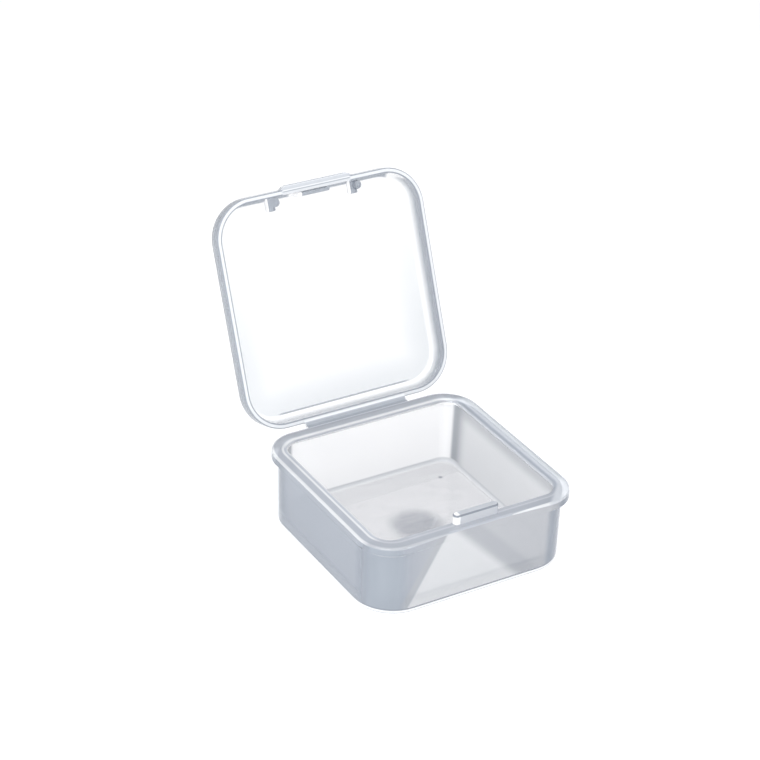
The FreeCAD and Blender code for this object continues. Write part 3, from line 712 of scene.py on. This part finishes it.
# floor and light
studio = {
    "floorHalf": 6.0,   # metres
    "floorWhite": "#f7f8fa", "floorGlow": 0.10, "sky": 0.82,
    "keyWatts": 1.55, "fillWatts": 0.2,
    "keyPlace": (-260, -180, 420), "keySize": 260,   # mm
    "fillPlace": (300, -120, 300), "fillSize": 300, "aim": (0, 0, 20),
    # what glassy edges pick up: a white sweep low down, a cool grey room above, a soft top light
    "room": ((0.50, "#ffffff"), (0.60, "#9aa1ac"), (0.80, "#8f96a2"), (0.88, "#ffffff"), (1.0, "#ffffff")),
}
floorMesh = bmesh.new()
bmesh.ops.create_grid(floorMesh, x_segments=1, y_segments=1, size=studio["floorHalf"])
floorData = bpy.data.meshes.new("floor")
floorMesh.to_mesh(floorData)
floorMesh.free()
floor = bpy.data.objects.new("floor", floorData)
scene.collection.objects.link(floor)

# matt white paper, which gives the eye a plain bright sweep with soft shadows
paper = bpy.data.materials.new("whiteSweepPaper")
paper.use_nodes = True
tree = paper.node_tree
tree.nodes.clear()
matt = addNode(tree, "ShaderNodeBsdfDiffuse", {"Color": hexToLinear(studio["floorWhite"])})
glow = addNode(tree, "ShaderNodeEmission", {"Color": (1, 1, 1, 1), "Strength": studio["floorGlow"]})
both = addNode(tree, "ShaderNodeAddShader", {0: matt.outputs[0], 1: glow.outputs[0]})
addNode(tree, "ShaderNodeOutputMaterial", {"Surface": both.outputs[0]})
floorData.materials.append(paper)

world = bpy.data.worlds.new("studio")
scene.world = world
world.use_nodes = True
tree = world.node_tree
tree.nodes.clear()
seen = addNode(tree, "ShaderNodeLightPath").outputs
direction = addNode(tree, "ShaderNodeTexCoord")
parts = addNode(tree, "ShaderNodeSeparateXYZ", {"Vector": direction.outputs["Generated"]})
upwards = addNode(tree, "ShaderNodeMapRange", {
    "Value": parts.outputs["Z"], "From Min": -1.0, "From Max": 1.0})
room = addNode(tree, "ShaderNodeValToRGB", {"Fac": upwards.outputs["Result"]})
fillStops(room.color_ramp, studio["room"])
glassy = addNode(tree, "ShaderNodeMath", {
    0: seen["Is Glossy Ray"], 1: seen["Is Transmission Ray"]}, operation="MAXIMUM")
plain = addNode(tree, "ShaderNodeBackground", {"Color": (1, 1, 1, 1), "Strength": studio["sky"]})
banded = addNode(tree, "ShaderNodeBackground", {"Color": room.outputs["Color"], "Strength": 1.0})
white = addNode(tree, "ShaderNodeBackground", {"Color": (1, 1, 1, 1), "Strength": 1.0})
lit = addNode(tree, "ShaderNodeMixShader", {
    0: glassy.outputs[0], 1: plain.outputs[0], 2: banded.outputs[0]})
shown = addNode(tree, "ShaderNodeMixShader", {
    0: seen["Is Camera Ray"], 1: lit.outputs[0], 2: white.outputs[0]})
addNode(tree, "ShaderNodeOutputWorld", {"Surface": shown.outputs[0]})


def softbox(name, placeMm, sizeMm, watts):
    data = bpy.data.lights.new(name, "AREA")
    data.size = sizeMm * mm
    data.energy = watts
    lamp = bpy.data.objects.new(name, data)
    lamp.location = Vector(placeMm) * mm
    lamp.rotation_euler = (Vector(studio["aim"]) * mm - lamp.location).to_track_quat("-Z", "Y").to_euler()
    scene.collection.objects.link(lamp)


softbox("keyLight", studio["keyPlace"], studio["keySize"], studio["keyWatts"])
softbox("fillLight", studio["fillPlace"], studio["fillSize"], studio["fillWatts"])
print("studio lit")
